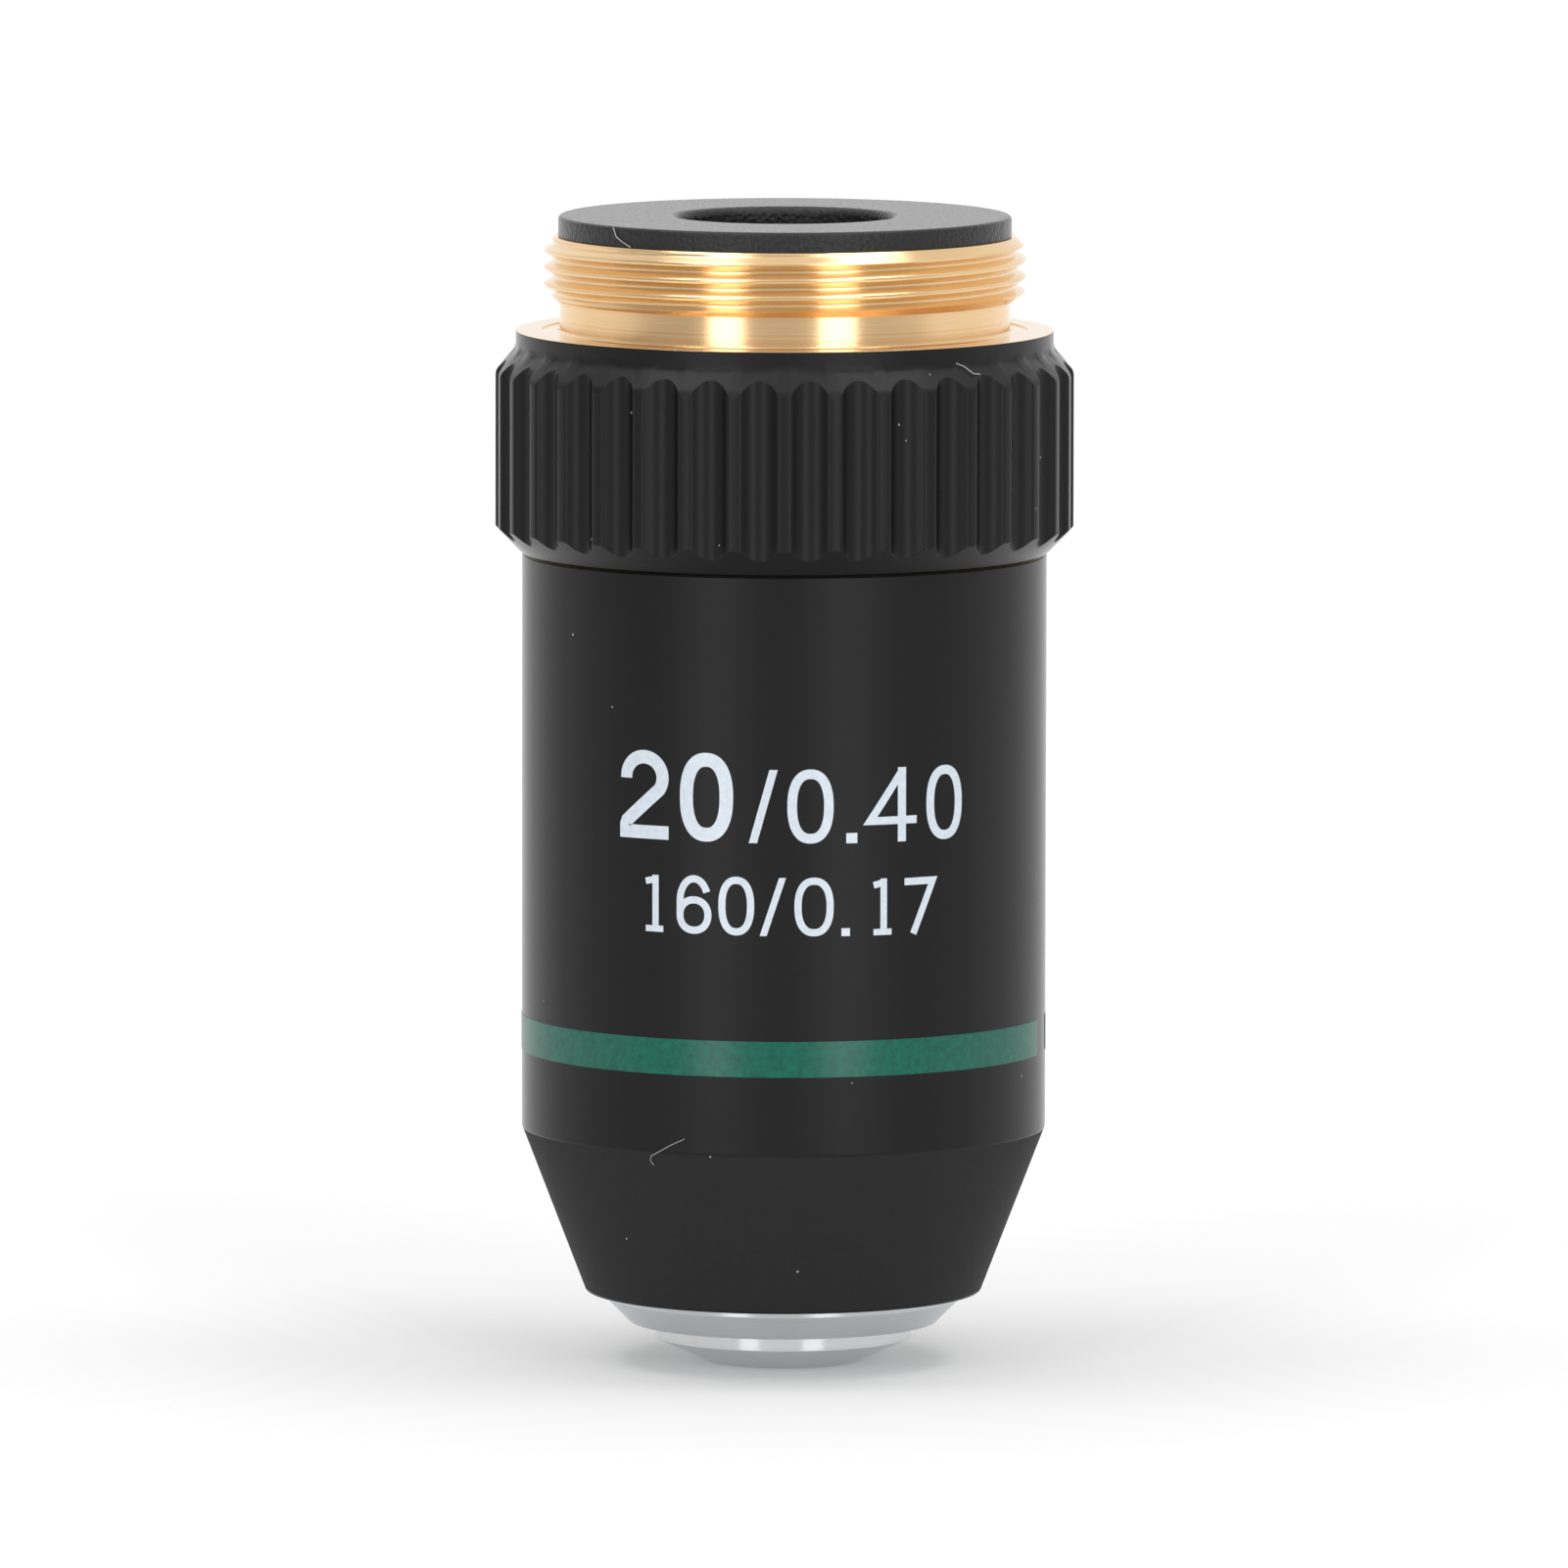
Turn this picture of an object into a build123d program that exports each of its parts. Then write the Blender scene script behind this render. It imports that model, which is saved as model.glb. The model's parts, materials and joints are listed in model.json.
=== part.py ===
from build123d import *
import math
import os

# Dry 20x objective with a spring-loaded front, standing front end down.
# Millimetres, +Z along the optical axis towards the thread, origin on the shoulder plane.

# Optical frame: the shoulder is one parfocal distance from the specimen
parfocal_distance = 45.0
working_distance = 1.55

# Front cell, from the front lens outwards
front_aperture_r = 2.1
tip_face_width = 1.17
tip_cone_width = 2.13
tip_cone_height = 0.98
tip_wall = 0.30
rim_straight = 0.67
lip_overlap = 0.88
front_seat_height = 2.5
front_lens_ledge = 0.5
front_lens_height = 2.3
front_lens_dome = 1.1
front_chamber_step = 0.8

# Cemented doublets, each handled as one piece of glass, and their cells
middle_lens_r = 3.75
middle_lens_height = 3.5
middle_lens_dome = 0.73
rear_lens_r = 4.25
rear_lens_height = 3.6
rear_lens_dome = 0.71
ledge_height = 0.6
ledge_width = 0.45
lens_ring_height = 0.8
lens_ring_width = 0.55
cell_end_margin = 0.05

# Rest of the stack
spacer_wall = 1.1
front_spacer_length = 2.5
rear_spacer_length = 2.6
aperture_stop_height = 0.4
aperture_stop_r = 3.3
retaining_ring_height = 1.6
retaining_ring_width = 1.5
spanner_slot_width = 1.0
spanner_slot_depth = 0.6

# Lens sleeve
nose_wall = 1.2
nose_cone_height = 1.03
nose_straight_showing = 0.27
front_lip_height = 0.90
sleeve_neck_wall = 1.3
well_depth = 4.0
shim_height = 0.3

# Spring, guide and travel
travel = 2.0
spring_channel = 1.4
spring_reserve = 2.5
spring_wire = 0.8
spring_active_turns = 3.5
spring_end_turns = 0.75
spring_runs_per_turn = 20
spring_sides = 8
pin_r = 0.75
pin_floor = 0.65
pin_below_seat = 1.5
keyway_depth = 0.6

# Outer barrel
barrel_wall = 2.0
cone_length = 7.0
lip_wall = 0.70
lip_break = 0.10
front_wall = 4.4
spigot_step = 0.65

# Colour band
band_width = 1.50
band_depth = 0.08
band_top_from_corner = 4.76
band_end_angle = 15.0
band_gap_angle = 10.0

# Mount collar, grip
grip_rise = 1.12
grip_length = 6.51
collar_length = 0.70
collar_cone_height = 1.01
collar_blend = 0.6
flute_count = 36
flute_r = 0.90
flute_depth = 0.45
rim_step = 0.05
joint_line_break = 0.15
spigot_length = 4.0
spigot_chamfer = 0.3

# Mount collar, rear end: the nosepiece bears on the shoulder outside the thread's crests
neck_wall = 1.55
neck_length = 1.30
thread_rise = 0.65
thread_length = 2.66
thread_chamfer = 0.45
seat_relief_margin = 0.10
seat_relief_depth = 0.05
seat_width = 1.07
stop_bore_wall = 1.45
stop_bore_depth = 6.0

# Rear stop
stop_set_in = 0.6
stop_flange_height = 0.85
stop_hole_r = 4.5
stop_hole_height = 1.5
stop_skirt_length = 2.9
stop_skirt_wall = 1.0
stop_edge_break = 0.15
stop_hole_break = 0.30

# Clearances
screw_clearance = 0.05
guide_clearance = 0.05
nose_clearance = 0.10
rim_clearance = 0.05
cell_clearance = 0.02
glass_clearance = 0.02
neck_clearance = 0.30
pin_side_clearance = 0.05
pin_end_clearance = 0.10
pin_stop_clearance = 0.30

# Radii that follow, from the front lens outwards
front_lens_r = front_aperture_r + front_lens_ledge
front_chamber_r = front_lens_r + front_chamber_step
tip_face_r = front_aperture_r + tip_face_width
rim_r = tip_face_r + tip_cone_width
cell_r = rim_r + lip_overlap
spacer_bore_r = cell_r - spacer_wall
cell_bore_r = cell_r + cell_clearance
nose_r = cell_bore_r + nose_wall
nose_end_r = nose_r - nose_cone_height
sleeve_neck_r = cell_bore_r + sleeve_neck_wall
bore_r = sleeve_neck_r + spring_channel
spring_r = (sleeve_neck_r + bore_r) / 2
guide_r = bore_r - guide_clearance
keyway_r = bore_r + keyway_depth
lip_hole_r = nose_r + nose_clearance
lip_r = lip_hole_r + lip_wall
barrel_r = bore_r + barrel_wall
spigot_bore_r = bore_r + spigot_step
spigot_r = spigot_bore_r - screw_clearance
light_bore_r = sleeve_neck_r + neck_clearance
neck_r = light_bore_r + neck_wall
stop_bore_r = neck_r - stop_bore_wall
thread_r = neck_r + thread_rise
stop_flange_r = thread_r - stop_set_in
seat_r = thread_r + seat_relief_margin
shoulder_r = seat_r + seat_width
grip_r = barrel_r + grip_rise
chamfer_end_r = barrel_r + rim_step

# Heights that follow, from the shoulder down
spring_turns = spring_active_turns + 2 * spring_end_turns
spring_length = spring_turns * spring_wire + travel + spring_reserve
thread_z = neck_length
rear_end_z = neck_length + thread_length
stop_bore_end_z = rear_end_z - stop_bore_depth
grip_top_z = -(collar_length + collar_cone_height)
grip_end_z = grip_top_z - grip_length
barrel_top_z = grip_end_z - (grip_r - chamfer_end_r)
spigot_end_z = barrel_top_z - spigot_length
spring_seat_z = spigot_end_z - spring_length

# Heights that follow, from the tip up
tip_z = working_distance - parfocal_distance
front_lens_z = tip_z + tip_wall
rim_end_z = tip_z + tip_cone_height
nose_end_z = rim_end_z + rim_straight
nose_cone_z = nose_end_z + nose_cone_height
barrel_end_z = nose_cone_z + nose_straight_showing
cone_top_z = barrel_end_z + cone_length
ledge_z = barrel_end_z + front_wall
sleeve_shoulder_z = ledge_z + shim_height
band_top_z = cone_top_z + band_top_from_corner
lip_seat_z = nose_end_z + front_lip_height


def drop(rim_r, dome, radius):
    """How far a spherical dome of that height over that rim has dropped at a smaller radius."""
    curve = (rim_r**2 + dome**2) / (2 * dome)
    return curve - math.sqrt(curve**2 - radius**2)


# The stack in the sleeve, from the front: each lens ring rests on its lens's domed rear face
middle_ring_r = middle_lens_r - lens_ring_width
middle_ring_seat = middle_lens_height - drop(middle_lens_r, middle_lens_dome, middle_ring_r)
middle_cell_length = ledge_height + middle_ring_seat + lens_ring_height + cell_end_margin
rear_ring_r = rear_lens_r - lens_ring_width
rear_ring_seat = rear_lens_height - drop(rear_lens_r, rear_lens_dome, rear_ring_r)
rear_cell_length = ledge_height + rear_ring_seat + lens_ring_height + cell_end_margin
front_spacer_z = lip_seat_z + front_seat_height
middle_cell_z = front_spacer_z + front_spacer_length
rear_spacer_z = middle_cell_z + middle_cell_length
rear_cell_z = rear_spacer_z + rear_spacer_length
aperture_stop_z = rear_cell_z + rear_cell_length
retaining_ring_z = aperture_stop_z + aperture_stop_height
stack_end_z = retaining_ring_z + retaining_ring_height
sleeve_top_z = stack_end_z + well_depth
pin_z = spring_seat_z - pin_below_seat


def turned(*corners):
    """A body turned about Z: each corner is (radius, height) or (radius, height, rounding)."""
    points = [(corner[0], corner[1]) for corner in corners]
    rounds = [corner[2] if len(corner) > 2 else 0 for corner in corners]
    outline = FilletPolyline(*points, radius=rounds, close=True)
    return revolve(Plane.XZ * make_face(outline), axis=Axis.Z)


def ring(inner, outer, bottom, top):
    return turned((inner, bottom), (outer, bottom), (outer, top), (inner, top))


def mount_collar():
    """Thread, neck, shoulder and fluted grip, all one turned piece of brass."""
    body = turned(
        (stop_bore_r, rear_end_z),
        (thread_r - thread_chamfer, rear_end_z),
        (thread_r, rear_end_z - thread_chamfer),
        (thread_r, thread_z),
        (neck_r, thread_z),
        (neck_r, -seat_relief_depth),
        (seat_r, -seat_relief_depth),
        (seat_r, 0),
        (shoulder_r, 0),
        (shoulder_r, -collar_length, collar_blend),
        (grip_r, grip_top_z),
        (grip_r, grip_end_z),
        (chamfer_end_r, barrel_top_z),
        (spigot_r, barrel_top_z),
        (spigot_r, spigot_end_z + spigot_chamfer),
        (spigot_r - spigot_chamfer, spigot_end_z),
        (light_bore_r, spigot_end_z),
        (light_bore_r, stop_bore_end_z),
        (stop_bore_r, stop_bore_end_z),
    )
    flute_centre_r = grip_r - flute_depth + flute_r
    flute = Pos(Z=barrel_top_z) * Cylinder(
        flute_r,
        -barrel_top_z,
        align=(Align.CENTER, Align.CENTER, Align.MIN),
    )
    half_pitch = 180 / flute_count
    flutes = PolarLocations(flute_centre_r, flute_count, start_angle=-90 + half_pitch)
    return body - [place * flute for place in flutes]


def rear_stop():
    """Black stop ring: a flange with a round hole and a skirt that sits in the mount's bore."""
    skirt_r = stop_bore_r - screw_clearance
    flange_top_z = rear_end_z + stop_flange_height
    diaphragm_z = flange_top_z - stop_hole_height
    skirt_end_z = rear_end_z - stop_skirt_length
    return turned(
        (stop_hole_r, flange_top_z - stop_hole_break),
        (stop_hole_r + stop_hole_break, flange_top_z),
        (stop_flange_r - stop_edge_break, flange_top_z),
        (stop_flange_r, flange_top_z - stop_edge_break),
        (stop_flange_r, rear_end_z),
        (skirt_r, rear_end_z),
        (skirt_r, skirt_end_z),
        (skirt_r - stop_skirt_wall, skirt_end_z),
        (skirt_r - stop_skirt_wall, diaphragm_z),
        (stop_hole_r, diaphragm_z),
    )


def band_ring():
    """The whole ring that the band's ink fills, before its ends are cut."""
    return ring(barrel_r - band_depth, barrel_r, band_top_z - band_width, band_top_z)


def band_gap():
    """The wedge left unprinted, from the band's end on the right round towards the back."""
    reach = 2 * barrel_r
    half = math.radians(band_gap_angle / 2)
    wedge = make_face(
        Polyline(
            (0, 0),
            (reach, -reach * math.tan(half)),
            (reach, reach * math.tan(half)),
            close=True,
        )
    )
    slab = extrude(wedge, band_width)
    middle_angle = band_gap_angle / 2 - band_end_angle
    return Pos(Z=band_top_z - band_width) * Rot(Z=middle_angle) * slab


def colour_band():
    return band_ring() - band_gap()


def outer_barrel():
    """Black tube with a conical front, bored from the rear, with a keyway for the guide pin."""
    cone_slope = (barrel_r - lip_r) / cone_length
    body = turned(
        (spigot_bore_r, barrel_top_z),
        (barrel_r - joint_line_break, barrel_top_z),
        (barrel_r, barrel_top_z - joint_line_break),
        (barrel_r, cone_top_z),
        (lip_r + lip_break * cone_slope, barrel_end_z + lip_break),
        (lip_r - lip_break, barrel_end_z),
        (lip_hole_r, barrel_end_z),
        (lip_hole_r, ledge_z),
        (bore_r, ledge_z),
        (bore_r, spigot_end_z),
        (spigot_bore_r, spigot_end_z),
    )
    keyway_end_z = pin_z - pin_r - pin_stop_clearance
    keyway = Pos(0, bore_r - keyway_depth, keyway_end_z) * Box(
        2 * (pin_r + pin_side_clearance),
        2 * keyway_depth,
        spigot_end_z - keyway_end_z,
        align=(Align.CENTER, Align.MIN, Align.MIN),
    )
    return body - keyway - colour_band()


def parfocal_shim():
    return ring(lip_hole_r, guide_r, ledge_z, sleeve_shoulder_z)


def lens_sleeve():
    """Inner sleeve: a guide that runs in the barrel, a neck inside the spring and a nose."""
    body = turned(
        (cell_bore_r, sleeve_top_z),
        (sleeve_neck_r, sleeve_top_z),
        (sleeve_neck_r, spring_seat_z),
        (guide_r, spring_seat_z),
        (guide_r, sleeve_shoulder_z),
        (nose_r, sleeve_shoulder_z),
        (nose_r, nose_cone_z),
        (nose_end_r, nose_end_z),
        (rim_r + rim_clearance, nose_end_z),
        (rim_r + rim_clearance, lip_seat_z),
        (cell_bore_r, lip_seat_z),
    )
    return body - guide_pin()


def guide_pin():
    """Short pin pressed into the sleeve's guide, with its end in the barrel's keyway."""
    pin_end_y = keyway_r - pin_end_clearance
    pin = Cylinder(
        pin_r,
        pin_end_y - cell_bore_r - pin_floor,
        align=(Align.CENTER, Align.CENTER, Align.MIN),
    )
    return Pos(0, pin_end_y, pin_z) * Rot(X=90) * pin


def front_cell():
    """Front cell with the bright rim, the flat cone and the pocket of the front lens."""
    lens_rim_z = front_lens_z + front_lens_height - front_lens_dome
    pocket_r = front_lens_r + glass_clearance
    return turned(
        (front_aperture_r, tip_z),
        (tip_face_r, tip_z),
        (rim_r, rim_end_z),
        (rim_r, lip_seat_z),
        (cell_r, lip_seat_z),
        (cell_r, front_spacer_z),
        (front_chamber_r, front_spacer_z),
        (front_chamber_r, lens_rim_z),
        (pocket_r, lens_rim_z),
        (pocket_r, front_lens_z),
        (front_aperture_r, front_lens_z),
    )


def lens(radius, seat_z, height, dome):
    """Glass with a flat front face on its seat and a domed rear face."""
    top_z = seat_z + height
    rim_z = top_z - dome
    edges = Polyline((0, top_z), (0, seat_z), (radius, seat_z), (radius, rim_z))
    rear_face = TangentArc((0, top_z), (radius, rim_z), tangent=(1, 0))
    return revolve(Plane.XZ * make_face(edges + rear_face), axis=Axis.Z)


def lens_cell(lens_r, bottom, length):
    """A short tube with a ledge at its front, which a doublet sits on."""
    pocket_r = lens_r + glass_clearance
    return turned(
        (lens_r - ledge_width, bottom),
        (cell_r, bottom),
        (cell_r, bottom + length),
        (pocket_r, bottom + length),
        (pocket_r, bottom + ledge_height),
        (lens_r - ledge_width, bottom + ledge_height),
    )


def lens_ring(lens_r, inner_r, bottom):
    return ring(inner_r, lens_r, bottom, bottom + lens_ring_height)


def spacer(bottom, length):
    return ring(spacer_bore_r, cell_r, bottom, bottom + length)


def aperture_stop():
    return ring(aperture_stop_r, cell_r, aperture_stop_z, retaining_ring_z)


def retaining_ring():
    """Threaded ring with a slot across each side for a pin spanner."""
    body = ring(cell_r - retaining_ring_width, cell_r, retaining_ring_z, stack_end_z)
    slot = Pos(Z=stack_end_z) * Box(
        2 * cell_r + 1,
        spanner_slot_width,
        2 * spanner_slot_depth,
    )
    return body - slot


def coil_height(turn):
    """Height of the wire's centre after that many turns: closed ends, open middle."""
    end_height = spring_end_turns * spring_wire
    active_height = spring_length - spring_wire / 2 - 2 * end_height
    active_turns = min(max(turn - spring_end_turns, 0), spring_active_turns)
    end_turns = turn - active_turns
    rise = end_turns * spring_wire + active_turns * active_height / spring_active_turns
    return spring_seat_z + spring_wire / 4 + rise


def spring():
    """Coil spring with closed ends ground flat, between the sleeve's seat and the mount."""
    runs = round(spring_turns * spring_runs_per_turn)
    turns = [spring_turns * run / runs for run in range(runs + 1)]
    path = Polyline(
        [
            (
                spring_r * math.cos(2 * math.pi * turn),
                spring_r * math.sin(2 * math.pi * turn),
                coil_height(turn),
            )
            for turn in turns
        ]
    )
    section = RegularPolygon(spring_wire / 2, spring_sides)
    start = Plane(origin=path @ 0, z_dir=path % 0)
    coil = sweep(start * section, path=path, transition=Transition.RIGHT)
    return coil & ring(sleeve_neck_r, bore_r, spring_seat_z, spigot_end_z)


def build():
    """Every node by name."""
    middle_seat_z = middle_cell_z + ledge_height
    rear_seat_z = rear_cell_z + ledge_height
    return {
        "mount_collar": mount_collar(),
        "rear_stop": rear_stop(),
        "outer_barrel": outer_barrel(),
        "colour_band": colour_band(),
        "parfocal_shim": parfocal_shim(),
        "spring": spring(),
        "lens_sleeve": lens_sleeve(),
        "guide_pin": guide_pin(),
        "front_cell": front_cell(),
        "front_lens": lens(front_lens_r, front_lens_z, front_lens_height, front_lens_dome),
        "front_spacer": spacer(front_spacer_z, front_spacer_length),
        "middle_cell": lens_cell(middle_lens_r, middle_cell_z, middle_cell_length),
        "middle_doublet": lens(middle_lens_r, middle_seat_z, middle_lens_height, middle_lens_dome),
        "middle_lens_ring": lens_ring(middle_lens_r, middle_ring_r, middle_seat_z + middle_ring_seat),
        "rear_spacer": spacer(rear_spacer_z, rear_spacer_length),
        "rear_cell": lens_cell(rear_lens_r, rear_cell_z, rear_cell_length),
        "rear_doublet": lens(rear_lens_r, rear_seat_z, rear_lens_height, rear_lens_dome),
        "rear_lens_ring": lens_ring(rear_lens_r, rear_ring_r, rear_seat_z + rear_ring_seat),
        "aperture_stop": aperture_stop(),
        "retaining_ring": retaining_ring(),
    }


def main():
    os.makedirs("parts", exist_ok=True)
    for name, shape in build().items():
        export_step(shape, f"parts/{name}.step")
        print(name, len(shape.solids()), round(shape.volume, 1))
    print("tip", round(tip_z, 2), "sleeve top", round(sleeve_top_z, 2), "stack end", round(stack_end_z, 2))


main()
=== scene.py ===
import json
import math
import random

import bmesh
import bpy
from mathutils import Matrix, Vector


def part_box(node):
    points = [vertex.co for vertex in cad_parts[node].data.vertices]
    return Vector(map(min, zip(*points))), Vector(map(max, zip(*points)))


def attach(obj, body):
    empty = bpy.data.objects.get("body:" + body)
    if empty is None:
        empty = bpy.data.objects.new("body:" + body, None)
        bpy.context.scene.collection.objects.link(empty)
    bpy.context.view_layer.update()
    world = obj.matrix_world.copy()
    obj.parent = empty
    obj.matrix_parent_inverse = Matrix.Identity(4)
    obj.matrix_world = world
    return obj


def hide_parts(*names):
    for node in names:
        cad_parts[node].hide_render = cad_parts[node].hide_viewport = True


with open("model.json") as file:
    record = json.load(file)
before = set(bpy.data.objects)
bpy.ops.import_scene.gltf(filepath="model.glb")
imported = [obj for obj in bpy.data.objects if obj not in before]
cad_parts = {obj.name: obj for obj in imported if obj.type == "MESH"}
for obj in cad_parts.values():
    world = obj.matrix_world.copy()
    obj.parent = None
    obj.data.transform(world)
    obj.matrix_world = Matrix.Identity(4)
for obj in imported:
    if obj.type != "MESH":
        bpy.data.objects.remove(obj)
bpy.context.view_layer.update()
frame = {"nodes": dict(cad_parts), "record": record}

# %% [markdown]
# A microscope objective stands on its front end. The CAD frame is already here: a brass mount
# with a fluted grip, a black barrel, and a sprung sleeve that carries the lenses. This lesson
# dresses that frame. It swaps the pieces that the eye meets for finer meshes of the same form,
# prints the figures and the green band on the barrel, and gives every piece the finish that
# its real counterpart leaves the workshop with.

nodes = frame["nodes"]
MM = 0.001


def extent(node):
    """A turned node's outer radius, lowest and highest point, in millimetres."""
    low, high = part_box(node)
    return high[0] / MM, low[2] / MM, high[2] / MM


grip_r, spigot_end, rear_end = extent("mount_collar")
barrel_r, barrel_end, barrel_top = extent("outer_barrel")
flange_r, skirt_end, flange_top = extent("rear_stop")
guide_r, nose_end, sleeve_top = extent("lens_sleeve")
cell_r, tip, cell_top = extent("front_cell")
lens_r, lens_front, lens_rear = extent("front_lens")
band_bottom, band_top = extent("colour_band")[1:]
print("grip", round(2 * grip_r, 2), "mm across,", round(flange_top - tip, 2), "mm tall")

# %% [markdown]
# A finish is a small graph of nodes. One helper adds a node, sets its properties and fills its
# sockets, either with a value or with a link from another node. Colours are written as the
# sRGB hex codes that a colour picker shows, and one function turns them to linear light.

# %% Helpers for finishes
def linear(hex_code):
    channels = [int(hex_code[i : i + 2], 16) / 255 for i in (1, 3, 5)]
    curve = [c / 12.92 if c <= 0.04045 else ((c + 0.055) / 1.055) ** 2.4 for c in channels]
    return (*curve, 1.0)


def add(tree, kind, sockets=None, **settings):
    """Adds one node to a tree. A socket's value may be the output of another node."""
    node = tree.nodes.new(kind)
    for name, value in settings.items():
        setattr(node, name, value)
    for name, value in (sockets or {}).items():
        if isinstance(value, bpy.types.NodeSocket):
            tree.links.new(value, node.inputs[name])
        else:
            node.inputs[name].default_value = value
    return node


def finish(name, sockets):
    """A material with one principled shader: returns the material, its tree and the shader."""
    material = bpy.data.materials.new(name)
    material.use_nodes = True
    tree = material.node_tree
    tree.nodes.clear()
    shader = add(tree, "ShaderNodeBsdfPrincipled", sockets)
    add(tree, "ShaderNodeOutputMaterial", {"Surface": shader.outputs["BSDF"]})
    return material, tree, shader


def place_mm(tree):
    """The surface point in millimetres, in the object's own frame."""
    coordinate = add(tree, "ShaderNodeTexCoord")
    sockets = {0: coordinate.outputs["Object"], "Scale": 1 / MM}
    return add(tree, "ShaderNodeVectorMath", sockets, operation="SCALE").outputs["Vector"]


def colour_between(tree, shader, factor, first, second, start=0.0, end=1.0):
    """Colours a shader from the first hex code to the second as the factor goes up."""
    ramp = add(tree, "ShaderNodeValToRGB", {"Fac": factor})
    for stop, hex_code, place in zip(ramp.color_ramp.elements, (first, second), (start, end)):
        stop.color = linear(hex_code)
        stop.position = place
    tree.links.new(ramp.outputs["Color"], shader.inputs["Base Color"])


print("white is", linear("#FFFFFF"))

# %% [markdown]
# A lathe leaves fine rings: the tool's tip moves a little at each turn, so the surface is a
# shallow spiral groove. Along the outside the rings follow the height, on a flat face they
# follow the radius, and on a cone both change. Height plus radius therefore counts the rings
# on all three, and a one-dimensional noise over that count gives each ring its own depth.

# %% Turning marks
ACROSS = 0.25  # a quarter turn of the stretched gloss


def turning_marks(tree, spacing_mm):
    parts = add(tree, "ShaderNodeSeparateXYZ", {"Vector": place_mm(tree)}).outputs
    flat = add(tree, "ShaderNodeCombineXYZ", {"X": parts["X"], "Y": parts["Y"], "Z": 0.0})
    radius = add(tree, "ShaderNodeVectorMath", {0: flat.outputs["Vector"]}, operation="LENGTH")
    along = add(tree, "ShaderNodeMath", {0: radius.outputs["Value"], 1: parts["Z"]}, operation="ADD")
    rings = add(tree, "ShaderNodeMath", {0: along.outputs["Value"], 1: spacing_mm}, operation="DIVIDE")
    sockets = {"W": rings.outputs["Value"], "Scale": 1.0, "Detail": 2.0, "Roughness": 0.6}
    return add(tree, "ShaderNodeTexNoise", sockets, noise_dimensions="1D")


def press(tree, shader, height, depth_mm, normal=None):
    """Presses a height pattern into a shader's surface, to a real depth."""
    sockets = {"Height": height, "Strength": 1.0, "Distance": depth_mm * MM}
    if normal is not None:
        sockets["Normal"] = normal
    bump = add(tree, "ShaderNodeBump", sockets)
    tree.links.new(bump.outputs["Normal"], shader.inputs["Normal"])
    return bump.outputs["Normal"]


def across_rings(tree, shader, anisotropy):
    """Stretches the gloss across the turning marks, as on brushed metal."""
    direction = add(tree, "ShaderNodeTangent", direction_type="RADIAL", axis="Z")
    tree.links.new(direction.outputs["Tangent"], shader.inputs["Tangent"])
    shader.inputs["Anisotropic"].default_value = anisotropy
    shader.inputs["Anisotropic Rotation"].default_value = ACROSS


# %% [markdown]
# A worn mirror and a satin coat have this in common: seen at a low angle they look glossier,
# because the eye then meets only the tops of their texture. The facing output of a layer
# weight node tells how low the angle is, and the roughness goes down with it.

# %% Gloss at a low angle
GLOSS_STARTS, GLOSS_FULL = 0.45, 0.95


def low_angle_gloss(tree, shader, roughness, grazing_roughness):
    angle = add(tree, "ShaderNodeLayerWeight", {"Blend": 0.5})
    between = {"From Min": GLOSS_STARTS, "From Max": GLOSS_FULL}
    between |= {"To Min": roughness, "To Max": grazing_roughness}
    mixed = add(tree, "ShaderNodeMapRange", {"Value": angle.outputs["Facing"]} | between)
    tree.links.new(mixed.outputs["Result"], shader.inputs["Roughness"])


# %% [markdown]
# Free-cutting brass, freshly turned: warm yellow metal with a bright, slightly streaked gloss.
# The rings are about 0.05 mm apart on the real part, finer than a pixel, so they are drawn
# 0.11 mm apart to show. The metal keeps the default IOR, and its colour does the rest.

# %% Turned brass
BRASS_RING_MM = 0.11
turned_brass, tree, shader = finish("turned_brass", {"Metallic": 1.0})
marks = turning_marks(tree, BRASS_RING_MM)
colour_between(tree, shader, marks.outputs["Fac"], "#E6BF8A", "#F6D7AC")
press(tree, shader, marks.outputs["Fac"], 0.0006)
across_rings(tree, shader, 0.8)
low_angle_gloss(tree, shader, 0.25, 0.10)
print("brass rings every", BRASS_RING_MM, "mm")

# %% [markdown]
# The grip and the barrel carry a thin satin black coat, sprayed and baked. It hides the metal
# but follows the turning marks under it, and its own surface has a grain of a few hundredths
# of a millimetre. An IOR of 1.5 is right for lacquer: a weak shine in front and a strong one
# at the edges, where the white room is reflected at a low angle.

# %% Satin black coat
COAT_GRAINS_PER_MM, COAT_GRAIN_DEPTH_MM = 9.0, 0.0025
COAT_RING_MM = 0.14


def black_coat(name, base, worn, ring_depth_mm):
    material, tree, shader = finish(name, {"IOR": 1.5, "Specular IOR Level": 0.26})
    grain = add(
        tree,
        "ShaderNodeTexNoise",
        {"Vector": place_mm(tree), "Scale": COAT_GRAINS_PER_MM, "Detail": 4.0, "Roughness": 0.65},
    )
    colour_between(tree, shader, grain.outputs["Fac"], base, worn, 0.35, 0.75)
    low_angle_gloss(tree, shader, 0.42, 0.18)
    grained = press(tree, shader, grain.outputs["Fac"], COAT_GRAIN_DEPTH_MM)
    press(tree, shader, turning_marks(tree, COAT_RING_MM).outputs["Fac"], ring_depth_mm, grained)
    return material


grip_coat = black_coat("black_coat_grip", "#050505", "#0B0B0C", 0.0004)
barrel_coat = black_coat("black_coat_barrel", "#050505", "#0A0A0B", 0.0010)
print("coats:", grip_coat.name, barrel_coat.name)

# %% [markdown]
# The bores behind the lenses are blackened so that no stray light gets back into the image.
# That finish is a flat, almost soot-like black.

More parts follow.
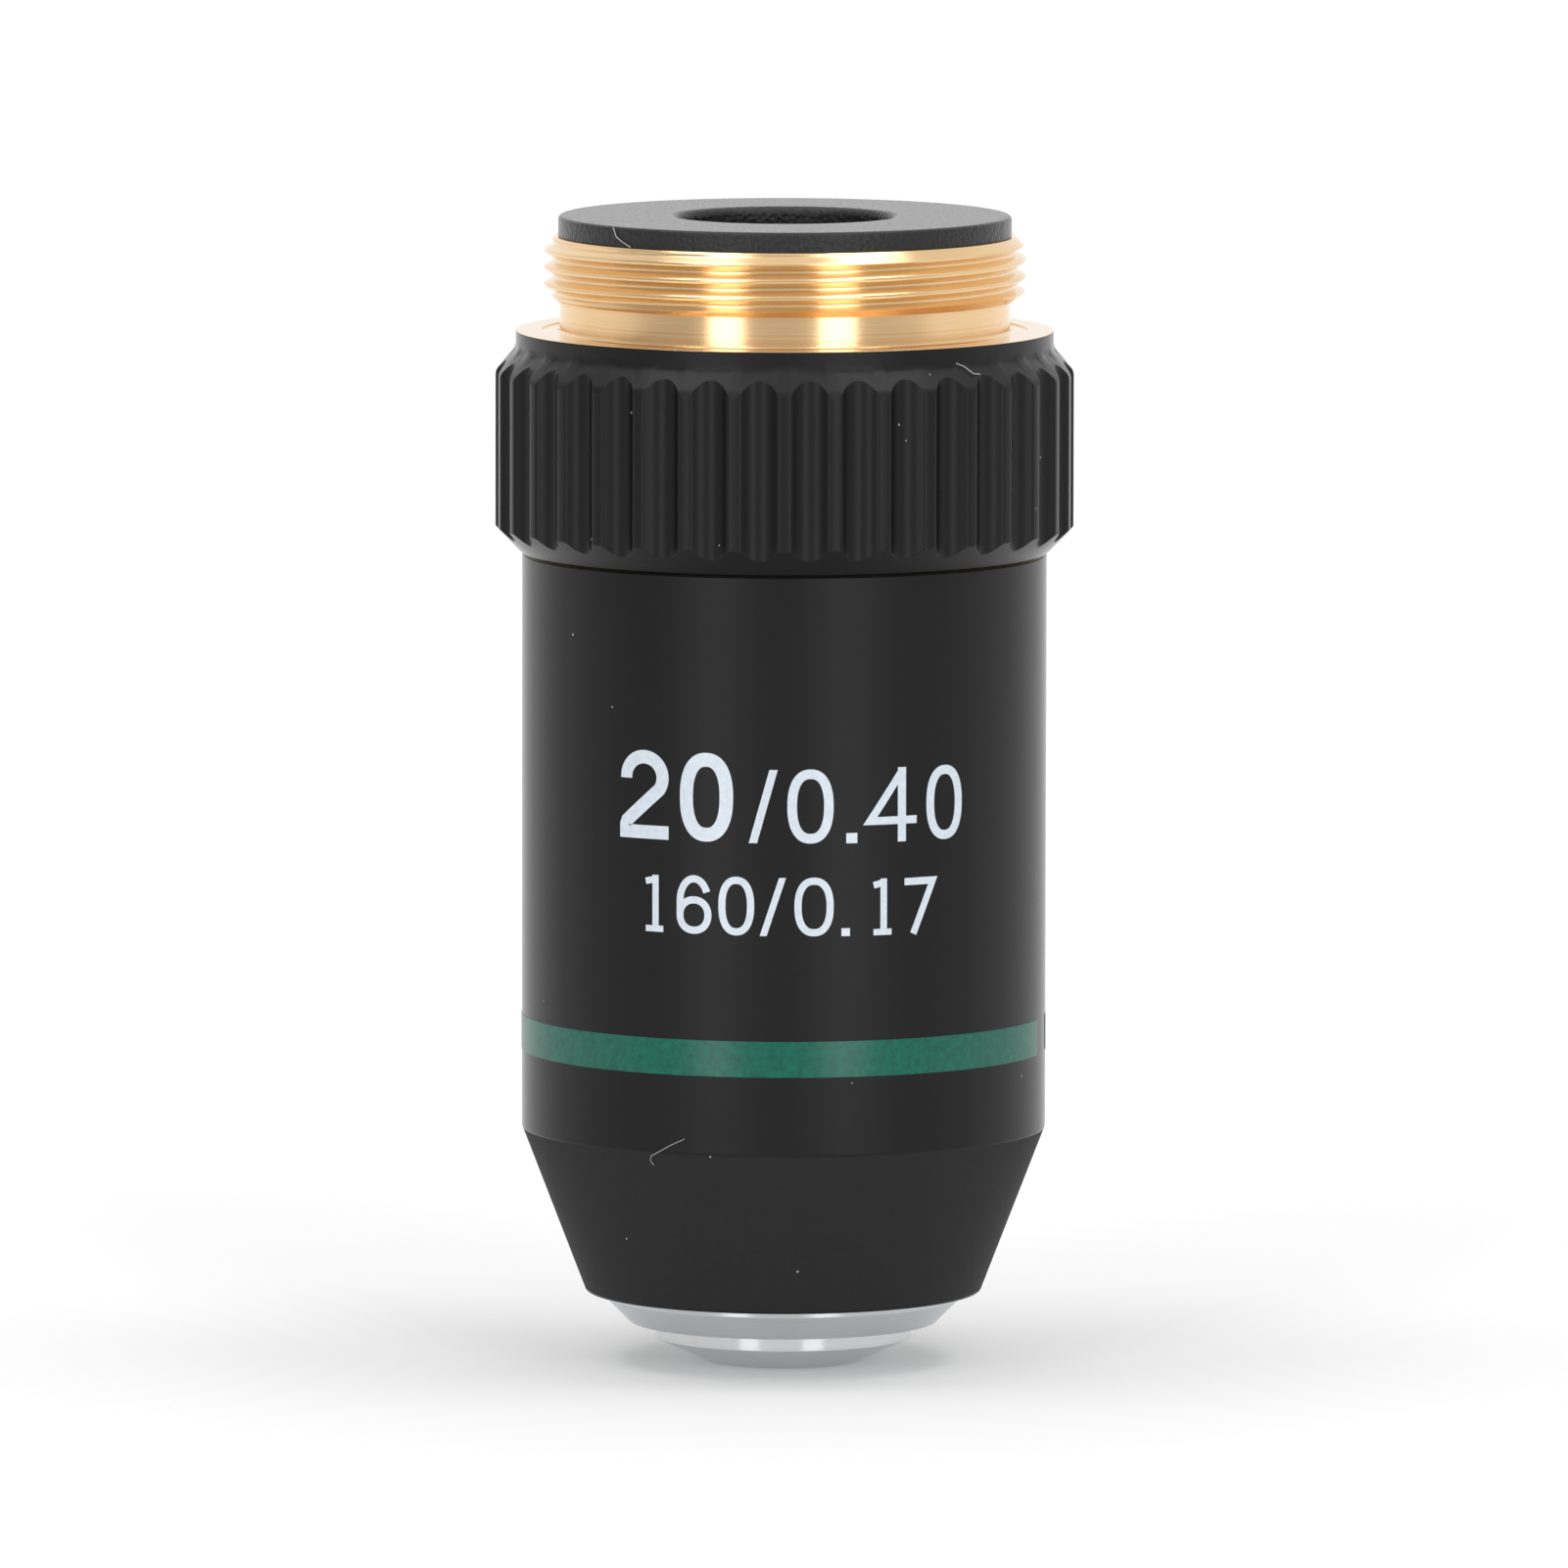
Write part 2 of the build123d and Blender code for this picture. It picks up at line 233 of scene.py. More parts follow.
# %% Blackened bore
bore_black, tree, shader = finish("blackened_bore", {"Roughness": 0.75, "IOR": 1.45})
soot = add(tree, "ShaderNodeTexNoise", {"Vector": place_mm(tree), "Scale": 6.0, "Detail": 3.0})
colour_between(tree, shader, soot.outputs["Fac"], "#0A0A0A", "#171717")
press(tree, shader, soot.outputs["Fac"], 0.004)
print("bore finish:", bore_black.name)

# %% [markdown]
# The figures and the band are enamel ink, pad-printed onto the coat and baked. Ink lies a few
# hundredths of a millimetre proud, with a soft gloss. The green varies a little in density,
# because the pad leaves more ink in some places than in others, and the white is faintly cool.

# %% Enamel inks
def enamel(name, thin, full, speckle_per_mm, spread):
    material, tree, shader = finish(name, {"Roughness": 0.27, "IOR": 1.5, "Specular IOR Level": 0.35})
    density = add(
        tree,
        "ShaderNodeTexNoise",
        {"Vector": place_mm(tree), "Scale": speckle_per_mm, "Detail": 5.0, "Roughness": 0.6},
    )
    colour_between(tree, shader, density.outputs["Fac"], thin, full, 0.5 - spread, 0.5 + spread)
    press(tree, shader, density.outputs["Fac"], 0.0030)
    return material


green_ink = enamel("green_enamel_ink", "#024A3D", "#066552", 3.2, 0.25)
white_ink = enamel("white_enamel_ink", "#C4CDD6", "#D2DAE2", 4.0, 0.2)
print("inks:", green_ink.name, white_ink.name)

# %% [markdown]
# The front of the sleeve and the front cell are brass with a satin nickel plate: a cool grey
# metal. Plate copies the surface under it, so the turning marks still show.

# %% Satin nickel plate
def nickel(name, dark, bright, roughness, ring_mm, depth_mm):
    material, tree, shader = finish(name, {"Metallic": 1.0, "Roughness": roughness})
    marks = turning_marks(tree, ring_mm)
    colour_between(tree, shader, marks.outputs["Fac"], dark, bright)
    press(tree, shader, marks.outputs["Fac"], depth_mm)
    across_rings(tree, shader, 0.85)
    return material


sleeve_nickel = nickel("satin_nickel_sleeve", "#C4C7CB", "#DADDE0", 0.30, 0.09, 0.0014)
cell_nickel = nickel("bright_nickel_cell", "#CDCFD2", "#E2E4E6", 0.18, 0.09, 0.0010)
print("plates:", sleeve_nickel.name, cell_nickel.name)

# %% [markdown]
# The stop on the rear end is moulded in black ABS from a spark-eroded mould, which leaves a
# fine leathery grain of about a tenth of a millimetre. It is drawn twice as coarse here, or
# it would vanish between pixels. Seen along its top the grain catches the light of the room.

# %% Grained black ABS
GRAIN_PER_MM, GRAIN_DEPTH_MM = 4.5, 0.03
grained_abs, tree, shader = finish("grained_black_abs", {"IOR": 1.53, "Specular IOR Level": 0.4})
place = place_mm(tree)
grain = add(tree, "ShaderNodeTexVoronoi", {"Vector": place, "Scale": GRAIN_PER_MM})
cloud = add(tree, "ShaderNodeTexNoise", {"Vector": place, "Scale": 5.0, "Detail": 4.0})
colour_between(tree, shader, cloud.outputs["Fac"], "#09090B", "#17171B")
low_angle_gloss(tree, shader, 0.45, 0.2)
heights = {0: grain.outputs["Distance"], 1: cloud.outputs["Fac"]}
both = add(tree, "ShaderNodeMath", heights, operation="ADD")
press(tree, shader, both.outputs["Value"], GRAIN_DEPTH_MM)
print("grain cells", round(1 / GRAIN_PER_MM, 2), "mm")

# %% [markdown]
# Inside, out of sight, the lens cells and spacers are black anodised aluminium, the spring and
# shim are bare steel, and the lenses are optical glass. Anodising leaves a hard, finely
# matt skin that keeps the turning marks. Drawn spring wire has lines along its length.

# %% Anodised aluminium, spring steel and ground steel
anodised, tree, shader = finish("black_anodised_aluminium", {"Roughness": 0.42, "IOR": 1.6})
marks = turning_marks(tree, 0.12)
colour_between(tree, shader, marks.outputs["Fac"], "#151517", "#202024")
press(tree, shader, marks.outputs["Fac"], 0.002)


def steel(name, dark, bright, roughness, scale):
    material, tree, shader = finish(name, {"Metallic": 1.0, "Roughness": roughness})
    cloud = add(tree, "ShaderNodeTexNoise", {"Vector": place_mm(tree), "Scale": scale, "Detail": 4.0})
    colour_between(tree, shader, cloud.outputs["Fac"], dark, bright)
    press(tree, shader, cloud.outputs["Fac"], 0.001)
    return material


spring_steel = steel("drawn_spring_steel", "#8C8E92", "#B4B6BA", 0.28, 5.0)
ground_steel = steel("ground_steel", "#A2A4A8", "#C6C8CC", 0.2, 8.0)
print("metals:", anodised.name, spring_steel.name, ground_steel.name)

# %% [markdown]
# Crown glass has an IOR of about 1.52. A single layer of magnesium fluoride on it kills most
# of the reflection and leaves a faint violet one, which a thin coat with a violet tint
# gives. Polished glass is never quite clean: a very faint noise in the roughness stands for
# that.

# %% Coated optical glass
optical_glass, tree, shader = finish(
    "coated_optical_glass",
    {
        "Base Color": linear("#F4FBF8"),
        "Transmission Weight": 1.0,
        "IOR": 1.52,
        "Roughness": 0.02,
        "Coat Weight": 0.35,
        "Coat Roughness": 0.03,
        "Coat Tint": linear("#A58CFF"),
    },
)
haze = add(tree, "ShaderNodeTexNoise", {"Vector": place_mm(tree), "Scale": 1.5, "Detail": 2.0})
polish = {"Value": haze.outputs["Fac"], "To Min": 0.01, "To Max": 0.04}
clean = add(tree, "ShaderNodeMapRange", polish)
tree.links.new(clean.outputs["Result"], shader.inputs["Roughness"])
print("glass:", optical_glass.name)

# %% [markdown]
# Nearly every piece here was made on a lathe, so one function makes them all: it takes an
# outline in radius and height and joins copies of it round the axis. An outline's corners are
# given with the small rounding that the real edge has, because a perfectly sharp edge catches
# no light. A point is held close to each side of a rounding, so that the shading turns there
# and not across the long face beside it. The outline may change with the angle, and that is
# how the flutes, the keyway and the thread's helix come out of the same function.

# %% Rounded outlines
ARC_STEPS = 4
HOLD = 0.05


def rounded(corners):
    """Outline points of a closed shape, from corners given as (radius, height, rounding)."""
    points = []
    for index, (radius, height, rounding) in enumerate(corners):
        here = Vector((radius, height))
        if rounding == 0:
            points.append(here)
            continue
        back = (Vector(corners[index - 1][:2]) - here).normalized()
        ahead = (Vector(corners[(index + 1) % len(corners)][:2]) - here).normalized()
        half = back.angle(ahead) / 2
        centre = here + (back + ahead).normalized() * (rounding / math.sin(half))
        spoke = here + back * (rounding / math.tan(half)) - centre
        side = 1 if back.x * ahead.y - back.y * ahead.x < 0 else -1
        turn = side * (math.pi - 2 * half)
        arc_points = [
            centre + Matrix.Rotation(turn * step / ARC_STEPS, 2) @ spoke for step in range(ARC_STEPS + 1)
        ]
        points += [arc_points[0] + back * HOLD, *arc_points, arc_points[-1] + ahead * HOLD]
    return points


# %% The lathe
WELD = 4e-7
EDGE_ANGLE = math.radians(32)
COLUMNS = 192


def smooth(mesh):
    mesh.shade_smooth()
    mesh.set_sharp_from_angle(angle=EDGE_ANGLE)


def mesh_of(shape, name):
    """A mesh out of a shape under construction, which is then freed."""
    mesh = bpy.data.meshes.new(name)
    shape.to_mesh(mesh)
    shape.free()
    return mesh


def into_scene(name, data):
    thing = bpy.data.objects.new(name, data)
    bpy.context.scene.collection.objects.link(thing)
    return thing


def new_piece(name, mesh, body, materials, replaced=()):
    """Puts a mesh in the scene as a piece of the objective."""
    piece = into_scene(name, mesh)
    for material in materials:
        mesh.materials.append(material)
    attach(piece, body)
    if replaced:
        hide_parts(*replaced)
    print(name, len(mesh.polygons), "faces")


def spin(name, outline_at, angles, surface_at=None):
    """Joins the outlines at a full round of angles, both ends included, into a closed mesh."""
    columns = [outline_at(angle) for angle in angles]
    count = len(columns[0])
    points = [
        (r * math.sin(angle) * MM, -r * math.cos(angle) * MM, z * MM)
        for angle, column in zip(angles, columns)
        for r, z in column
    ]
    faces = [
        (here + k, here + (k + 1) % count, here + count + (k + 1) % count, here + count + k)
        for here in range(0, count * (len(angles) - 1), count)
        for k in range(count)
    ]
    mesh = bpy.data.meshes.new(name)
    mesh.from_pydata(points, [], faces)
    shape = bmesh.new()
    shape.from_mesh(mesh)
    bmesh.ops.remove_doubles(shape, verts=shape.verts, dist=WELD)
    bmesh.ops.recalc_face_normals(shape, faces=shape.faces)
    if surface_at:
        for face in shape.faces:
            x, y, z = face.calc_center_median() / MM
            face.material_index = surface_at(math.hypot(x, y), z)
    shape.to_mesh(mesh)
    shape.free()
    smooth(mesh)
    return mesh


def full_round(columns=COLUMNS):
    return [math.tau * i / columns for i in range(columns + 1)]


def turned(corners):
    """An outline that is the same at every angle."""
    outline = rounded(corners)
    return lambda angle: outline


print("an ordinary round has", COLUMNS, "columns")

# %% [markdown]
# The mount collar is one piece of turned brass. Its rear end has the standard objective
# thread, 36 turns to the inch with flanks at 55 degrees and rounded crests and roots. Below
# come a plain neck, the bright shoulder that seats on the nosepiece, and the grip. The thread
# is drawn as a true helix: every column of points is the one before it, a little higher.

# %% Thread form
THREAD_PITCH = 25.4 / 36
FLANK_ANGLE = math.radians(27.5)
thread_r = frame["record"]["mounts"][0]["dims"]["r_mm"]
thread_depth = 0.39
flank_slope = 1 / math.tan(FLANK_ANGLE)
sharp_depth = THREAD_PITCH / 2 * flank_slope
apex_over_crest = (sharp_depth - thread_depth) / 2
crest_arc = apex_over_crest / (1 / math.sin(FLANK_ANGLE) - 1)
arc_reach = crest_arc * math.cos(FLANK_ANGLE)
neck_top = 1.30
chamfer_depth = 0.45
run_out_r = 9.66
run_out_slope = 1.2
phases = [-0.5, -0.43, -0.5 + arc_reach / THREAD_PITCH, -arc_reach / THREAD_PITCH, -0.07]
phases += [0, 0.07, arc_reach / THREAD_PITCH, 0.5 - arc_reach / THREAD_PITCH, 0.43]


def thread_radius(height, angle):
    """Radius of the thread at a height above the shoulder and an angle round it."""
    turns = height / THREAD_PITCH - angle / math.tau
    off = abs(turns - round(turns)) * THREAD_PITCH
    if off < arc_reach:
        form = thread_r - crest_arc + math.sqrt(crest_arc**2 - off**2)
    elif off < THREAD_PITCH / 2 - arc_reach:
        form = thread_r + apex_over_crest - flank_slope * off
    else:
        off = THREAD_PITCH / 2 - off
        form = thread_r - thread_depth + crest_arc - math.sqrt(crest_arc**2 - off**2)
    entry = thread_r - chamfer_depth + rear_end - height
    exit_cone = run_out_r + (height - neck_top) * run_out_slope
    return min(form, entry, exit_cone)


def thread_points(angle):
    """The thread's outline from its rear end down to the neck."""
    last_turn = math.ceil(rear_end / THREAD_PITCH) + 1
    heights = [
        (turn + phase + angle / math.tau) * THREAD_PITCH
        for turn in range(last_turn, 0, -1)
        for phase in reversed(phases)
    ]
    kept = [min(max(height, neck_top), rear_end) for height in heights]
    return [Vector((thread_radius(height, angle), height)) for height in kept]


turns = (rear_end - neck_top) / THREAD_PITCH
print("thread pitch", round(THREAD_PITCH, 4), "mm, turns", round(turns, 2))

# %% [markdown]
# The grip has 36 flutes, milled straight down with a round cutter. Each flute runs out on the
# cone above and on the chamfer below, so its ends are curved, which is what the eye takes as
# the grip's scalloped edges. The ridges between have small rounded corners.

# %% Flutes
FLUTES = 36
FLUTE_R = 0.90
FLUTE_DEPTH = 0.45
RIDGE_ROUNDING = 0.24
flute_centre = grip_r - FLUTE_DEPTH + FLUTE_R
ridge_centre = grip_r - RIDGE_ROUNDING
reach = FLUTE_R + RIDGE_ROUNDING
ridge_angle = math.acos(
    (flute_centre**2 + ridge_centre**2 - reach**2) / (2 * flute_centre * ridge_centre)
)
ridge_x = ridge_centre * math.sin(ridge_angle) * FLUTE_R / reach
ridge_y = flute_centre - (flute_centre - ridge_centre * math.cos(ridge_angle)) * FLUTE_R / reach
groove_angle = math.atan2(ridge_x, ridge_y)
half_pitch = math.pi / FLUTES


def grip_radius(angle):
    """Radius of the fluted grip, with a ridge at angle 0, which faces the camera."""
    off = half_pitch - abs((angle + half_pitch) % (2 * half_pitch) - half_pitch)
    if off <= groove_angle:
        return flute_centre * math.cos(off) - math.sqrt(FLUTE_R**2 - (flute_centre * math.sin(off)) ** 2)
    if off < ridge_angle:
        off -= ridge_angle
        return ridge_centre * math.cos(off) + math.sqrt(
            RIDGE_ROUNDING**2 - (ridge_centre * math.sin(off)) ** 2
        )
    return grip_r


def grip_angles():
    """Angles of the columns: closer together where a ridge's corner turns."""
    groove = [groove_angle * share for share in (0, 0.3, 0.6, 0.85, 1)]
    corner = [groove_angle + (ridge_angle - groove_angle) * share for share in (0.3, 0.6, 1)]
    half = groove + corner
    steps = [half_pitch - off for off in reversed(half)]
    pitch = [0] + steps + [2 * half_pitch - step for step in reversed(steps[:-1])]
    return [2 * half_pitch * flute + step for flute in range(FLUTES) for step in pitch] + [math.tau]


ridge_flat = math.degrees(2 * (half_pitch - ridge_angle))
print(FLUTES, "flutes, ridge flats", round(ridge_flat, 2), "degrees wide")

# %% The mount collar
shoulder_r = 11.27
seat_r = 10.20
neck_r = 9.45
relief = 0.05
neck_fillet = 0.13
shoulder_break = 0.05
collar_foot = -0.70
collar_blend = 0.6
cone_slope = 0.85 / 1.01
grip_bottom = -8.22
spigot_r = 9.60
stop_bore_r = 8.0
light_bore_r = 7.9
stop_bore_end = -2.04
grip_break = 0.06
grip_top = collar_foot - (grip_r - shoulder_r) / cone_slope
flutes_start_r = 11.5
spigot_chamfer = 0.3
joint_edge = 0.05
GRIP_TOP_ROUNDING = 0.5
half_turn = math.atan(cone_slope) / 2
tangent = GRIP_TOP_ROUNDING * math.tan(half_turn)
cone_end_r = grip_r - tangent * math.sin(2 * half_turn)


def grip_top_height(radius):
    """Height of the turned blank's top at a radius: a cone, then a rounded corner."""
    if radius <= cone_end_r:
        return collar_foot - (radius - shoulder_r) / cone_slope
    across = radius - (grip_r - GRIP_TOP_ROUNDING)
    return grip_top - tangent + math.sqrt(max(0, GRIP_TOP_ROUNDING**2 - across**2))


def collar_outline(angle):
    """The collar's section at an angle, from the rear end down the outside and up the bore."""
    grip = grip_radius(angle)
    flute_bottom = grip_bottom - (grip_r - grip)
    shares = (0.4, 0.75, 0.88, 0.95, 0.985, 1)
    top_radii = [flutes_start_r + (grip - flutes_start_r) * share for share in shares]
    top_points = [Vector((radius, grip_top_height(radius))) for radius in top_radii]
    wall_hold = Vector((grip, top_points[-1].y - HOLD))
    outside = rounded(
        [
            (stop_bore_r, rear_end, 0),
            (thread_r, rear_end, 0),
            (thread_r, neck_top, 0),
            (neck_r, neck_top, 0),
            (neck_r, -relief, neck_fillet),
            (seat_r, -relief, 0),
            (seat_r, 0, 0),
            (shoulder_r, 0, shoulder_break),
            (shoulder_r, collar_foot, collar_blend),
            (grip, grip_top, 0),
            (grip, flute_bottom, grip_break),
            (barrel_r + joint_edge, barrel_top, 0.03),
            (spigot_r, barrel_top, 0),
            (spigot_r, spigot_end + spigot_chamfer, 0),
            (spigot_r - spigot_chamfer, spigot_end, 0),
            (light_bore_r, spigot_end, 0),
            (light_bore_r, stop_bore_end, 0),
            (stop_bore_r, stop_bore_end, 0),
        ]
    )
    corner = next(i for i, point in enumerate(outside) if point == Vector((grip, grip_top)))
    above, below = outside[3:corner], outside[corner + 1 :]
    return outside[:1] + thread_points(angle) + above + top_points + [wall_hold] + below


BRASS, COATED, BLACKENED = 0, 1, 2


def collar_surface(radius, height):
    if radius < stop_bore_r + 0.02:
        return BLACKENED
    if height < -0.012 and radius > seat_r + 0.1:
        return COATED
    return BRASS


collar_mesh = spin("mount_collar_turned", collar_outline, grip_angles(), collar_surface)
collar_finishes = [turned_brass, grip_coat, bore_black]
new_piece("mount_collar_turned", collar_mesh, "root", collar_finishes, ["mount_collar"])

# %% [markdown]
# The barrel screws onto the mount. Its long straight part carries the print, and its front
# tapers to a thin lip round the sleeve. A keyway in its bore guides the sleeve's pin. Where it
# meets the mount the edge is broken by a small chamfer, which shows as a fine dark line.

# %% The outer barrel
cone_top = -33.5
lip_r = 8.3
lip_hole_r = 7.6
ledge = -36.1
bore_r = 9.0
spigot_bore_r = 9.65
keyway_r = 9.6
keyway_half_width = 0.8
keyway_end = -24.34
joint_break = 0.15
coated_lip = 0.3


def barrel_outline(angle):
    keyed = abs(angle - math.pi) * bore_r < keyway_half_width
    key_r = keyway_r if keyed else bore_r
    return rounded(
        [
            (spigot_bore_r, barrel_top, 0),
            (barrel_r - joint_break, barrel_top, 0.02),
            (barrel_r, barrel_top - joint_break, 0.03),
            (barrel_r, cone_top, 0.12),
            (lip_r, barrel_end, 0.10),
            (lip_hole_r, barrel_end, 0.03),
            (lip_hole_r, ledge, 0),
            (bore_r, ledge, 0),
            (bore_r, keyway_end, 0),
            (key_r, keyway_end, 0),
            (key_r, spigot_end, 0),
            (spigot_bore_r, spigot_end, 0),
        ]
    )


def barrel_surface(radius, height):
    """1 is the blackened bore, 0 the coat, which also goes round the lip."""
    return int(radius < spigot_bore_r + 0.01 and height >= barrel_end + coated_lip)


BARREL_COLUMNS = 240
key_angle = keyway_half_width / bore_r
key_step = 1e-4
key_edges = [math.pi + side * (key_angle + step) for side in (-1, 1) for step in (-key_step, key_step)]
barrel_angles = sorted(full_round(BARREL_COLUMNS) + key_edges)
barrel_mesh = spin("outer_barrel_coated", barrel_outline, barrel_angles, barrel_surface)
barrel_finishes = [barrel_coat, bore_black]
new_piece("outer_barrel_coated", barrel_mesh, "root", barrel_finishes, ["outer_barrel"])

# %% [markdown]
# The stop is pushed into the mount's rear end. Its flange covers the brass, its round hole
# lets the image-forming light through, and its edges are rounded as a moulding's are.

# %% The rear stop
hole_r = 4.5
hole_bottom = flange_top - 1.5
skirt_r = 7.95
skirt_bore_r = 6.95
stop_corners = [
    (hole_r, flange_top, 0.30),
    (flange_r, flange_top, 0.16),
    (flange_r, rear_end, 0.03),
    (skirt_r, rear_end, 0),
    (skirt_r, skirt_end, 0),
    (skirt_bore_r, skirt_end, 0),
    (skirt_bore_r, hole_bottom, 0),
    (hole_r, hole_bottom, 0.05),
]
stop_mesh = spin("rear_stop_moulded", turned(stop_corners), full_round())
new_piece("rear_stop_moulded", stop_mesh, "root", [grained_abs], ["rear_stop"])

# %% [markdown]
# The sleeve slides inside the barrel and carries the lens stack. Only its front shows: a
# nickel-plated ring with a 45 degree cone. The front cell is clamped in it, with a bright rim
# and a flat cone that ends in the small front lens.

# %% The lens sleeve and the front cell
cell_bore_r = 6.30
sleeve_neck_r = 7.6
spring_seat = -21.79
sleeve_shoulder = -35.8
nose_r = 7.5
nose_end_r = 6.47
nose_cone = nose_end + 1.03
rim_hole_r = 5.45
lip_seat = nose_end + 0.90
sleeve_corners = [
    (cell_bore_r, sleeve_top, 0.03),
    (sleeve_neck_r, sleeve_top, 0.05),
    (sleeve_neck_r, spring_seat, 0),
    (guide_r, spring_seat, 0.05),
    (guide_r, sleeve_shoulder, 0.05),
    (nose_r, sleeve_shoulder, 0),
    (nose_r, nose_cone, 0.04),
    (nose_end_r, nose_end, 0.05),
    (rim_hole_r, nose_end, 0.03),
    (rim_hole_r, lip_seat, 0),
    (cell_bore_r, lip_seat, 0),
]
sleeve_mesh = spin("lens_sleeve_plated", turned(sleeve_corners), full_round())
new_piece("lens_sleeve_plated", sleeve_mesh, "nose", [sleeve_nickel], ["lens_sleeve"])

rim_r = 5.4
rim_end = tip + 0.98
tip_face_r = 3.27
aperture_r = 2.1
chamber_r = 3.4
pocket_r = lens_r + 0.02
lens_rim = lens_rear - 1.1
cell_corners = [
    (aperture_r, tip, 0.04),
    (tip_face_r, tip, 0.06),
    (rim_r, rim_end, 0.04),
    (rim_r, lip_seat, 0),
    (cell_r, lip_seat, 0),
    (cell_r, cell_top, 0),
    (chamber_r, cell_top, 0),
    (chamber_r, lens_rim, 0),
    (pocket_r, lens_rim, 0),
    (pocket_r, lens_front, 0),
    (aperture_r, lens_front, 0.02),
]
cell_mesh = spin("front_cell_plated", turned(cell_corners), full_round())
new_piece("front_cell_plated", cell_mesh, "nose", [cell_nickel], ["front_cell"])

# %% [markdown]
# Print is drawn flat and then wrapped round the barrel. Each figure is made of strokes: a
# centre line with a width, whose corners are mitred as a sign writer would cut them. Strokes
# that cross are joined with an exact boolean, so the ink is one clean film. The figures are
# plain optical data that every such objective carries: magnification, aperture, tube length
# and cover glass. No maker's lettering is drawn.

# %% Strokes
INK_UNDER = 0.02
INK_OVER = 0.018
MITRE_LIMIT = 2.3


def arc(centre_x, centre_y, radius_x, radius_y, start, end, squareness=2.0, steps=18):
    """Points on a part of an oval, by angle in degrees. More squareness fills its corners."""
    points = []
    for step in range(steps + 1):
        angle = math.radians(start + (end - start) * step / steps)
        across = math.copysign(abs(math.cos(angle)) ** (2 / squareness), math.cos(angle))
        up = math.copysign(abs(math.sin(angle)) ** (2 / squareness), math.sin(angle))
        points.append(Vector((centre_x + radius_x * across, centre_y + radius_y * up)))
    return points


def sides(points, width, closed):
    """The left and right edges of a stroke, as pairs of points, mitred at its corners."""
    pairs = []
    last = len(points) - 1
    for index, here in enumerate(points):
        back = points[index - 1] if index or closed else None
        ahead = points[(index + 1) % len(points)] if index < last or closed else None
        before = (here - back).normalized() if back else (ahead - here).normalized()
        after = (ahead - here).normalized() if ahead else before
        left_before = Vector((-before.y, before.x))
        left_after = Vector((-after.y, after.x))
        middle = (left_before + left_after).normalized()
        stretch = 1 / middle.dot(left_before)
        half = width / 2
        if stretch <= MITRE_LIMIT:
            pairs.append((here + middle * half * stretch, here - middle * half * stretch))
            continue
        inner = middle * half * stretch
        if before.x * after.y - before.y * after.x > 0:
            pairs.append((here + inner, here - left_before * half))
            pairs.append((here + inner, here - left_after * half))
        else:
            pairs.append((here + left_before * half, here - inner))
            pairs.append((here + left_after * half, here - inner))
    return pairs


def stroke_solid(pairs, closed):
    """A flat bar of ink between two edges."""
    shape = bmesh.new()
    rows = [
        [shape.verts.new((p.x, p.y, z)) for p in pair for z in (-INK_UNDER, INK_OVER)] for pair in pairs
    ]
    links = list(zip(rows, rows[1:])) + ([(rows[-1], rows[0])] if closed else [])
    for (a, b, c, d), (e, f, g, h) in links:
        for corners in ((b, f, h, d), (a, c, g, e), (a, e, f, b), (c, d, h, g)):
            if len(set(corners)) == 4:
                shape.faces.new(corners)
    if not closed:
        a, b, c, d = rows[0]
        shape.faces.new((a, b, d, c))
        a, b, c, d = rows[-1]
        shape.faces.new((a, c, d, b))
    bmesh.ops.remove_doubles(shape, verts=shape.verts, dist=1e-4)
    bmesh.ops.recalc_face_normals(shape, faces=shape.faces)
    return mesh_of(shape, "stroke")


def stroke(points, width, closed=False):
    return stroke_solid(sides(points, width, closed), closed)


print("ink stands", INK_OVER, "mm proud")


# %% [markdown]
# Each figure is a short list of strokes inside its own width and height. The round ones are
# ovals with slightly filled corners, as in the plain lettering that engineers use. The ends
# of the slash and the foot of the one are cut level with the line they stand on.

# %% Figures
def nought(w, h, t):
    loop = arc(w / 2, h / 2, (w - t) / 2, (h - t) / 2, 0, 360, squareness=2.35, steps=56)[:-1]
    return [stroke(loop, t, closed=True)]


def one(w, h, t):
    stem = w * 0.56
    return [
        stroke([Vector((stem, t / 2)), Vector((stem, h))], t),
        stroke([Vector((0, h * 0.885)), Vector((stem, h * 0.93))], t * 0.95),
        stroke([Vector((0, t * 0.45)), Vector((w, t * 0.45))], t * 0.9),
    ]


def two(w, h, t):
    bowl_y = h * 0.69
    bowl = arc(w * 0.51, bowl_y, w * 0.49 - t / 2, h - t / 2 - bowl_y, 184, -34, steps=26)
    foot = [Vector((t * 0.62, t * 1.25)), Vector((t / 2, t * 0.95))]
    base = [Vector((t / 2, t * 0.47)), Vector((w, t * 0.47))]
    return [stroke(bowl + foot + base, t)]


def four(w, h, t):
    stem = w * 0.72
    bar = h * 0.29
    return [
        stroke([Vector((stem, 0)), Vector((stem, h))], t),
        stroke([Vector((stem, h - t * 0.42)), Vector((t * 0.95, bar)), Vector((w, bar))], t * 0.88),
    ]


def six(w, h, t):
    bowl_y = h * 0.32
    shoulder = h * 0.56
    bowl = arc(w / 2, bowl_y, (w - t) / 2, bowl_y - t / 2, 0, 360, squareness=2.15, steps=44)[:-1]
    tail = arc(w / 2, shoulder, (w - t) / 2, h - t / 2 - shoulder, 24, 180, steps=20)
    return [stroke(bowl, t, closed=True), stroke(tail + [Vector((t / 2, bowl_y))], t)]


def seven(w, h, t):
    bar = h - t / 2
    return [stroke([Vector((0, bar)), Vector((w - t * 0.55, bar)), Vector((w * 0.27, 0))], t)]


